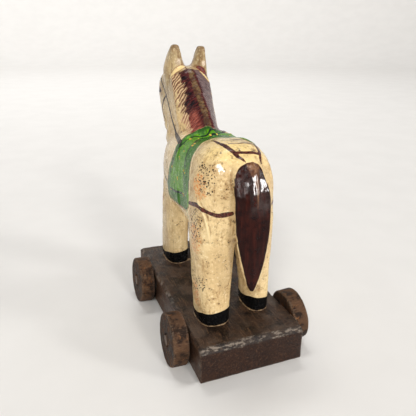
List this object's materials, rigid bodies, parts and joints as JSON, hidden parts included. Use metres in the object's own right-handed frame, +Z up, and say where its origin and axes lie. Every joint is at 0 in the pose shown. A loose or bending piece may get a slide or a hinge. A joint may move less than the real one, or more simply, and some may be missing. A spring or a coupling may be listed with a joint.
{
  "type": "wooden horse on wheels",
  "caption": "Carved and painted wooden toy horse with a saddle blanket, standing on a stained plank that rolls on loose wooden wheels.",
  "frame": {"origin": "on the floor under the middle of the toy's bounding box, where the wheels stand", "axes": "+Z up, +Y the way the horse looks and rolls, +X to its right"},
  "size_m": [0.0918, 0.1486, 0.1839],
  "materials": {
    "painted_wood": "cream paint under an aged satin varnish, with green, yellow, maroon and black painting",
    "stained_wood": "dark brown stain, worn at the edges",
    "dowel_wood": "dark, unvarnished",
    "wheel_wood": "rough sawn and stained dark, worn on the treads"
  },
  "bodies": {
    "toy": {"base": "stained_wood", "horse": "painted_wood", "axle_front": "dowel_wood", "axle_rear": "dowel_wood"},
    "wheel_fl": {"wheel_front_left": "wheel_wood"},
    "wheel_fr": {"wheel_front_right": "wheel_wood"},
    "wheel_rl": {"wheel_rear_left": "wheel_wood"},
    "wheel_rr": {"wheel_rear_right": "wheel_wood"}
  },
  "joints": [
    {"name": "roll_front_left", "type": "hinge", "parent": "toy", "child": "wheel_fl", "pos_m": [-0.04018, 0.03185, 0.01666], "axis": [0.999, 0, -0.0436], "continuous": true},
    {"name": "roll_front_right", "type": "hinge", "parent": "toy", "child": "wheel_fr", "pos_m": [0.04004, 0.03185, 0.01669], "axis": [0.9986, 0, 0.0523], "continuous": true},
    {"name": "roll_rear_left", "type": "hinge", "parent": "toy", "child": "wheel_rl", "pos_m": [-0.04018, -0.04641, 0.01666], "axis": [0.9988, -0.0209, -0.0436], "continuous": true},
    {"name": "roll_rear_right", "type": "hinge", "parent": "toy", "child": "wheel_rr", "pos_m": [0.03976, -0.04808, 0.01675], "axis": [0.9973, -0.0209, 0.0698], "continuous": true}
  ]
}
